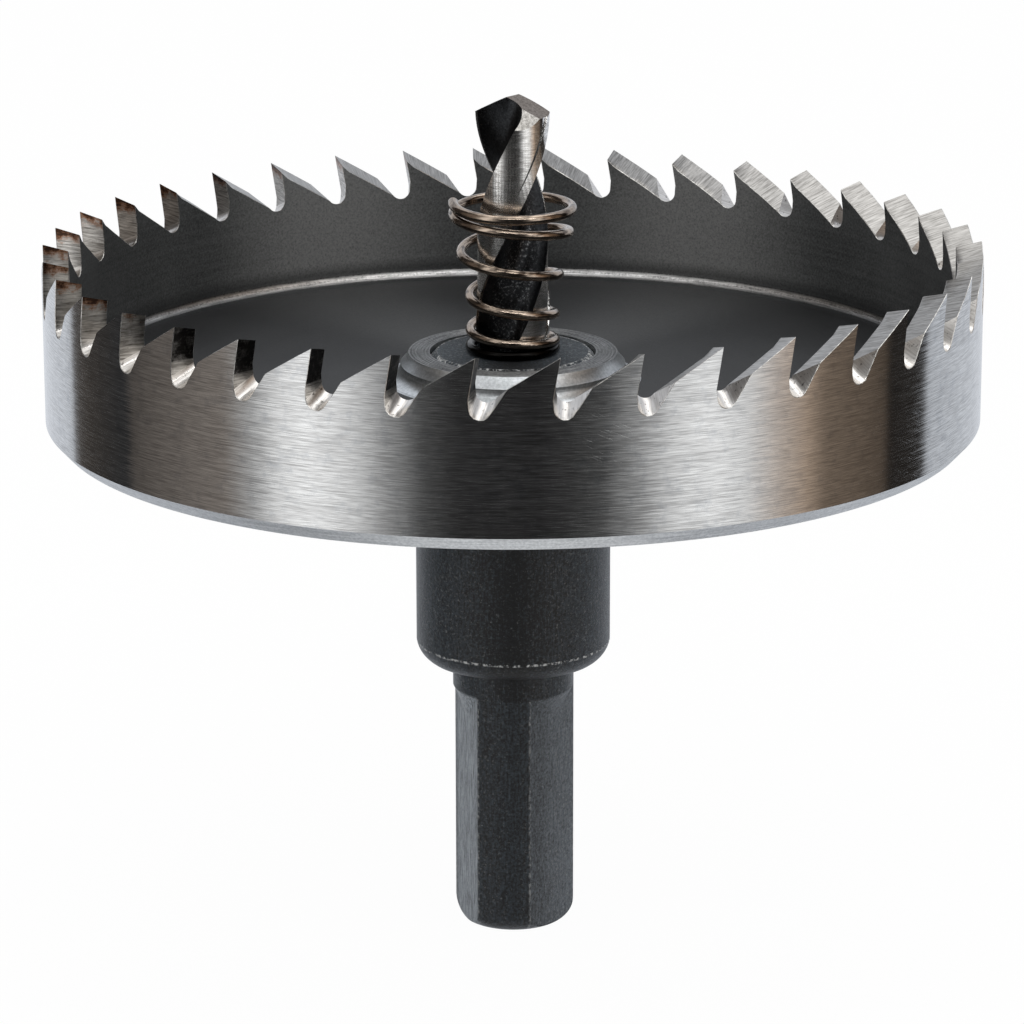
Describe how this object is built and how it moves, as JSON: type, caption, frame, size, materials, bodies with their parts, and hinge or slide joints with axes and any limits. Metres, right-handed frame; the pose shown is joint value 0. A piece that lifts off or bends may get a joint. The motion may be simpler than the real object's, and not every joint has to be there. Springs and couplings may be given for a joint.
{
  "type": "hole saw",
  "caption": "Solid cup hole saw on a three-flat shank, with ground teeth round the rim, a split-point pilot drill and a conical ejector spring.",
  "frame": {"origin": "middle of the flat end of the shank, the lowest point of the tool", "axes": "+Z along the axis of rotation from the shank to the teeth, +X to the right and -Y towards the viewer in the picture; the tool cuts counter-clockwise seen from +Z"},
  "size_m": [0.076, 0.076, 0.0699],
  "materials": {
    "cup_steel": "fine turned and ground",
    "blackened_steel": "black oxide, satin",
    "drill_steel": "ground bright",
    "spring_wire": "oil-tempered, glossy",
    "screw_steel": "black oxide"
  },
  "bodies": {
    "root": {"saw_cup": "cup_steel", "arbor": "blackened_steel", "pilot_drill": "drill_steel", "ejector_spring": "spring_wire", "set_screw": "screw_steel"}
  },
  "joints": []
}
